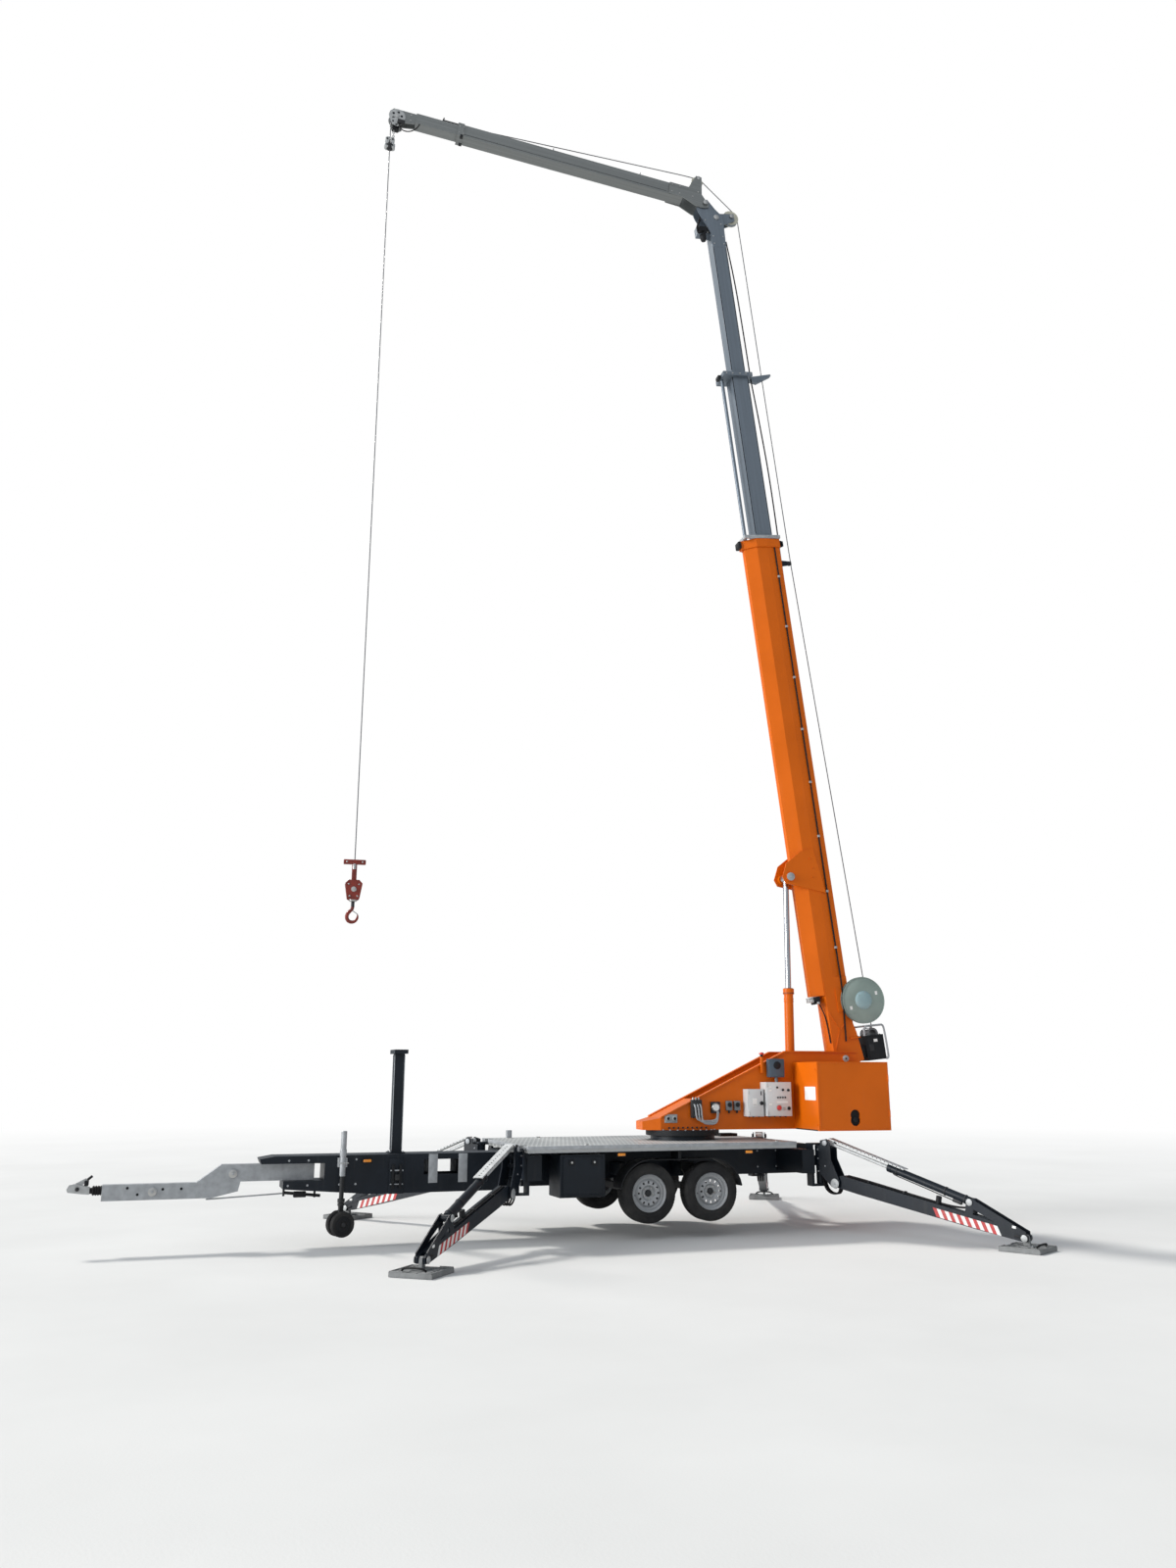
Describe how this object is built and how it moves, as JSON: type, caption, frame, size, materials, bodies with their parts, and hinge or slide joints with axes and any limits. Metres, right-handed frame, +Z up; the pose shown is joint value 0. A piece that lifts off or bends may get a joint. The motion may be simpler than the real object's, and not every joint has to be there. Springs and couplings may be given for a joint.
{
  "type": "trailer crane",
  "caption": "Telescopic slewing crane on a braked tandem-axle trailer, boom raised and jib folded forward, standing on four spread outriggers with square pads.",
  "frame": {"origin": "bottom centre of the box round the whole crane, on the ground under the four pads", "axes": "+X towards the drawbar and tow coupling, +Y to the trailer's left, +Z up"},
  "size_m": [9.5352, 6.3324, 14.7781],
  "materials": {
    "axle_steel": "black chassis paint",
    "black_plastic": "grained black plastic",
    "boom_aluminium": "bare extruded aluminium",
    "cast_steel": "dark oiled casting",
    "chassis_anthracite": "semi-gloss dark blue-grey paint",
    "chromed_rod": "hard chrome",
    "crane_orange": "gloss orange paint",
    "deck_aluminium": "weathered tread plate",
    "galvanised_steel": "dull galvanised zinc",
    "grey_enclosure": "light grey powder coat",
    "hook_red": "worn red paint",
    "pad_plastic": "grey recycled plastic",
    "reel_plastic": "milky green plastic",
    "rubber_black": "matt rubber",
    "rubber_tyre": "matt tyre rubber",
    "wheel_silver": "satin silver paint",
    "wire_rope": "greased wire rope"
  },
  "bodies": {
    "chassis": {"chassis_frame": "chassis_anthracite", "front_cross_beams": "chassis_anthracite", "rear_cross_beams": "chassis_anthracite", "deck_platform": "deck_aluminium", "drawbar_beams": "galvanised_steel", "overrun_tube": "rubber_black", "coupling_head": "cast_steel", "jockey_tube": "galvanised_steel", "boom_rest_post": "chassis_anthracite", "axle_beams": "axle_steel", "mudguards": "black_plastic", "storage_boxes": "chassis_anthracite"},
    "jockey_leg": {"jockey_leg": "axle_steel"},
    "jockey_fork": {"jockey_fork": "axle_steel"},
    "jockey_wheels": {"jockey_wheels": "rubber_tyre"},
    "wheel_front_left": {"tyre_front_left": "rubber_tyre", "rim_front_left": "wheel_silver"},
    "wheel_front_right": {"tyre_front_right": "rubber_tyre", "rim_front_right": "wheel_silver"},
    "wheel_rear_left": {"tyre_rear_left": "rubber_tyre", "rim_rear_left": "wheel_silver"},
    "wheel_rear_right": {"tyre_rear_right": "rubber_tyre", "rim_rear_right": "wheel_silver"},
    "bracket_front_left": {"bracket_front_left": "chassis_anthracite"},
    "arm_front_left": {"arm_front_left": "chassis_anthracite"},
    "leg_barrel_front_left": {"leg_barrel_front_left": "chassis_anthracite"},
    "leg_rod_front_left": {"leg_rod_front_left": "galvanised_steel"},
    "pad_front_left": {"pad_front_left": "pad_plastic"},
    "bracket_front_right": {"bracket_front_right": "chassis_anthracite"},
    "arm_front_right": {"arm_front_right": "chassis_anthracite"},
    "leg_barrel_front_right": {"leg_barrel_front_right": "chassis_anthracite"},
    "leg_rod_front_right": {"leg_rod_front_right": "galvanised_steel"},
    "pad_front_right": {"pad_front_right": "pad_plastic"},
    "bracket_rear_left": {"bracket_rear_left": "chassis_anthracite"},
    "arm_rear_left": {"arm_rear_left": "chassis_anthracite"},
    "leg_barrel_rear_left": {"leg_barrel_rear_left": "chassis_anthracite"},
    "leg_rod_rear_left": {"leg_rod_rear_left": "galvanised_steel"},
    "pad_rear_left": {"pad_rear_left": "pad_plastic"},
    "bracket_rear_right": {"bracket_rear_right": "chassis_anthracite"},
    "arm_rear_right": {"arm_rear_right": "chassis_anthracite"},
    "leg_barrel_rear_right": {"leg_barrel_rear_right": "chassis_anthracite"},
    "leg_rod_rear_right": {"leg_rod_rear_right": "galvanised_steel"},
    "pad_rear_right": {"pad_rear_right": "pad_plastic"},
    "turret": {"slew_ring": "cast_steel", "turret_frame": "crane_orange", "turret_cabinets": "crane_orange", "control_boxes": "grey_enclosure"},
    "luff_barrel": {"luff_barrel": "crane_orange"},
    "luff_rod": {"luff_rod": "chromed_rod"},
    "boom_base": {"boom_base": "crane_orange", "winch_unit": "black_plastic", "cable_reel": "reel_plastic"},
    "boom_section_2": {"boom_section_2": "boom_aluminium"},
    "boom_section_3": {"boom_section_3": "boom_aluminium"},
    "jib_tube": {"jib_tube": "boom_aluminium"},
    "jib_extension": {"jib_extension": "boom_aluminium"},
    "limit_weight": {"limit_weight": "cast_steel"},
    "hoist_rope": {"hoist_rope": "wire_rope"},
    "hook_block": {"hook_block": "hook_red"}
  },
  "joints": [
    {"name": "jockey_leg_slide", "type": "slide", "parent": "chassis", "child": "jockey_leg", "axis": [0, 0, -1], "range_m": [-0.1, 0.095]},
    {"name": "jockey_swivel", "type": "hinge", "parent": "jockey_leg", "child": "jockey_fork", "pos_m": [2.0826, 0.29, 0.4], "axis": [0, 0, 1], "continuous": true},
    {"name": "jockey_wheels_spin", "type": "hinge", "parent": "jockey_fork", "child": "jockey_wheels", "pos_m": [2.0826, 0.29, 0.225], "axis": [-0.2419, 0.9703, 0], "continuous": true},
    {"name": "wheel_spin_front_left", "type": "hinge", "parent": "chassis", "child": "wheel_front_left", "pos_m": [-1.1514, 0.8075, 0.484], "axis": [0, 1, 0], "continuous": true},
    {"name": "wheel_spin_front_right", "type": "hinge", "parent": "chassis", "child": "wheel_front_right", "pos_m": [-1.1514, -0.8075, 0.484], "axis": [0, 1, 0], "continuous": true},
    {"name": "wheel_spin_rear_left", "type": "hinge", "parent": "chassis", "child": "wheel_rear_left", "pos_m": [-1.8934, 0.8075, 0.484], "axis": [0, 1, 0], "continuous": true},
    {"name": "wheel_spin_rear_right", "type": "hinge", "parent": "chassis", "child": "wheel_rear_right", "pos_m": [-1.8934, -0.8075, 0.484], "axis": [0, 1, 0], "continuous": true},
    {"name": "outrigger_swing_front_left", "type": "hinge", "parent": "chassis", "child": "bracket_front_left", "pos_m": [0.3276, 0.76, 0.7], "axis": [0, 0, 1], "range_deg": [-46, 20]},
    {"name": "outrigger_tilt_front_left", "type": "hinge", "parent": "bracket_front_left", "child": "arm_front_left", "pos_m": [0.4803, 0.9452, 0.535], "axis": [-0.7716, 0.6361, 0], "range_deg": [-20, 4]},
    {"name": "leg_barrel_hinge_front_left", "type": "hinge", "parent": "arm_front_left", "child": "leg_barrel_front_left", "pos_m": [1.3434, 1.9922, 0.431], "axis": [-0.7716, 0.6361, 0], "range_deg": [-8, 8]},
    {"name": "leg_rod_slide_front_left", "type": "slide", "parent": "leg_barrel_front_left", "child": "leg_rod_front_left", "axis": [-0.5964, -0.7235, 0.3477], "range_m": [-0.22, 0.06]},
    {"name": "pad_level_front_left", "type": "hinge", "parent": "arm_front_left", "child": "pad_front_left", "pos_m": [1.6252, 2.3341, 0.125], "axis": [-0.7716, 0.6361, 0], "range_deg": [-6, 22]},
    {"name": "outrigger_swing_front_right", "type": "hinge", "parent": "chassis", "child": "bracket_front_right", "pos_m": [0.3276, -0.76, 0.7], "axis": [0, 0, -1], "range_deg": [-46, 20]},
    {"name": "outrigger_tilt_front_right", "type": "hinge", "parent": "bracket_front_right", "child": "arm_front_right", "pos_m": [0.4803, -0.9452, 0.535], "axis": [0.7716, 0.6361, 0], "range_deg": [-20, 4]},
    {"name": "leg_barrel_hinge_front_right", "type": "hinge", "parent": "arm_front_right", "child": "leg_barrel_front_right", "pos_m": [1.3434, -1.9922, 0.431], "axis": [0.7716, 0.6361, 0], "range_deg": [-8, 8]},
    {"name": "leg_rod_slide_front_right", "type": "slide", "parent": "leg_barrel_front_right", "child": "leg_rod_front_right", "axis": [-0.5964, 0.7235, 0.3477], "range_m": [-0.22, 0.06]},
    {"name": "pad_level_front_right", "type": "hinge", "parent": "arm_front_right", "child": "pad_front_right", "pos_m": [1.6252, -2.3341, 0.125], "axis": [0.7716, 0.6361, 0], "range_deg": [-6, 22]},
    {"name": "outrigger_swing_rear_left", "type": "hinge", "parent": "chassis", "child": "bracket_rear_left", "pos_m": [-3.3424, 0.76, 0.7], "axis": [0, 0, -1], "range_deg": [-56, 20]},
    {"name": "outrigger_tilt_rear_left", "type": "hinge", "parent": "bracket_rear_left", "child": "arm_rear_left", "pos_m": [-3.4558, 0.9715, 0.535], "axis": [-0.8813, -0.4726, 0], "range_deg": [-20, 4]},
    {"name": "leg_barrel_hinge_rear_left", "type": "hinge", "parent": "arm_rear_left", "child": "leg_barrel_rear_left", "pos_m": [-4.2109, 2.3798, 0.4352], "axis": [-0.8813, -0.4726, 0], "range_deg": [-8, 8]},
    {"name": "leg_rod_slide_rear_left", "type": "slide", "parent": "leg_barrel_rear_left", "child": "leg_rod_rear_left", "axis": [0.4506, -0.8403, 0.3014], "range_m": [-0.22, 0.06]},
    {"name": "pad_level_rear_left", "type": "hinge", "parent": "arm_rear_left", "child": "pad_rear_left", "pos_m": [-4.4765, 2.8751, 0.125], "axis": [-0.8813, -0.4726, 0], "range_deg": [-6, 22]},
    {"name": "outrigger_swing_rear_right", "type": "hinge", "parent": "chassis", "child": "bracket_rear_right", "pos_m": [-3.3424, -0.76, 0.7], "axis": [0, 0, 1], "range_deg": [-56, 20]},
    {"name": "outrigger_tilt_rear_right", "type": "hinge", "parent": "bracket_rear_right", "child": "arm_rear_right", "pos_m": [-3.4558, -0.9715, 0.535], "axis": [0.8813, -0.4726, 0], "range_deg": [-20, 4]},
    {"name": "leg_barrel_hinge_rear_right", "type": "hinge", "parent": "arm_rear_right", "child": "leg_barrel_rear_right", "pos_m": [-4.2109, -2.3798, 0.4352], "axis": [0.8813, -0.4726, 0], "range_deg": [-8, 8]},
    {"name": "leg_rod_slide_rear_right", "type": "slide", "parent": "leg_barrel_rear_right", "child": "leg_rod_rear_right", "axis": [0.4506, 0.8403, 0.3014], "range_m": [-0.22, 0.06]},
    {"name": "pad_level_rear_right", "type": "hinge", "parent": "arm_rear_right", "child": "pad_rear_right", "pos_m": [-4.4765, -2.8751, 0.125], "axis": [0.8813, -0.4726, 0], "range_deg": [-6, 22]},
    {"name": "slew", "type": "hinge", "parent": "chassis", "child": "turret", "pos_m": [-1.9424, 0, 1.05], "axis": [0, 0, 1], "continuous": true},
    {"name": "boom_luff", "type": "hinge", "parent": "turret", "child": "boom_base", "pos_m": [-3.9746, 0.1778, 1.935], "axis": [-0.0872, -0.9962, 0], "range_deg": [-80, 1.9]},
    {"name": "luff_barrel_hinge", "type": "hinge", "parent": "turret", "child": "luff_barrel", "pos_m": [-3.347, 0.1229, 1.334], "axis": [-0.0872, -0.9962, 0], "range_deg": [-78, 4]},
    {"name": "luff_rod_slide", "type": "slide", "parent": "luff_barrel", "child": "luff_rod", "axis": [-0.0175, 0.0015, 0.9998], "range_m": [-1.26, 0.05]},
    {"name": "telescope_2", "type": "slide", "parent": "boom_base", "child": "boom_section_2", "axis": [0.111, -0.0097, 0.9938], "range_m": [-2.4, 2.2]},
    {"name": "telescope_3", "type": "slide", "parent": "boom_section_2", "child": "boom_section_3", "axis": [0.111, -0.0097, 0.9938], "range_m": [-2.04, 2.2]},
    {"name": "jib_fold", "type": "hinge", "parent": "boom_section_3", "child": "jib_tube", "pos_m": [-2.5238, 0.0509, 14.1206], "axis": [0.0872, 0.9962, 0], "range_deg": [-77, 43]},
    {"name": "jib_extend", "type": "slide", "parent": "jib_tube", "child": "jib_extension", "axis": [0.9909, -0.0867, 0.1028], "range_m": [-0.5, 1.2]},
    {"name": "limit_weight_plumb", "type": "hinge", "parent": "jib_extension", "child": "limit_weight", "pos_m": [1.9445, -0.3401, 14.6595], "axis": [-0.0872, -0.9962, 0], "range_deg": [-4, 82]},
    {"name": "rope_plumb", "type": "hinge", "parent": "limit_weight", "child": "hoist_rope", "pos_m": [1.9445, -0.3401, 14.6595], "axis": [0.0872, 0.9962, 0], "range_deg": [-45, 80]},
    {"name": "hoist", "type": "slide", "parent": "hoist_rope", "child": "hook_block", "axis": [0, 0, -1], "range_m": [-8, 2.2], "deforming": ["hoist_rope"]}
  ],
  "couplings": [
    {"joint": "leg_barrel_hinge_front_left", "follows": "outrigger_tilt_front_left", "ratio": -0.1373},
    {"joint": "leg_rod_slide_front_left", "follows": "outrigger_tilt_front_left", "m_per_rad": 0.4017},
    {"joint": "pad_level_front_left", "follows": "outrigger_tilt_front_left", "ratio": -1},
    {"joint": "leg_barrel_hinge_front_right", "follows": "outrigger_tilt_front_right", "ratio": -0.1373},
    {"joint": "leg_rod_slide_front_right", "follows": "outrigger_tilt_front_right", "m_per_rad": 0.4017},
    {"joint": "pad_level_front_right", "follows": "outrigger_tilt_front_right", "ratio": -1},
    {"joint": "leg_barrel_hinge_rear_left", "follows": "outrigger_tilt_rear_left", "ratio": -0.1068},
    {"joint": "leg_rod_slide_rear_left", "follows": "outrigger_tilt_rear_left", "m_per_rad": 0.4121},
    {"joint": "pad_level_rear_left", "follows": "outrigger_tilt_rear_left", "ratio": -1},
    {"joint": "leg_barrel_hinge_rear_right", "follows": "outrigger_tilt_rear_right", "ratio": -0.1068},
    {"joint": "leg_rod_slide_rear_right", "follows": "outrigger_tilt_rear_right", "m_per_rad": 0.4121},
    {"joint": "pad_level_rear_right", "follows": "outrigger_tilt_rear_right", "ratio": -1},
    {"joint": "luff_barrel_hinge", "follows": "boom_luff", "ratio": 0.9451},
    {"joint": "luff_rod_slide", "follows": "boom_luff", "m_per_rad": 0.8864},
    {"joint": "limit_weight_plumb", "follows": "boom_luff", "ratio": -1},
    {"joint": "rope_plumb", "follows": "jib_fold", "ratio": -1}
  ]
}
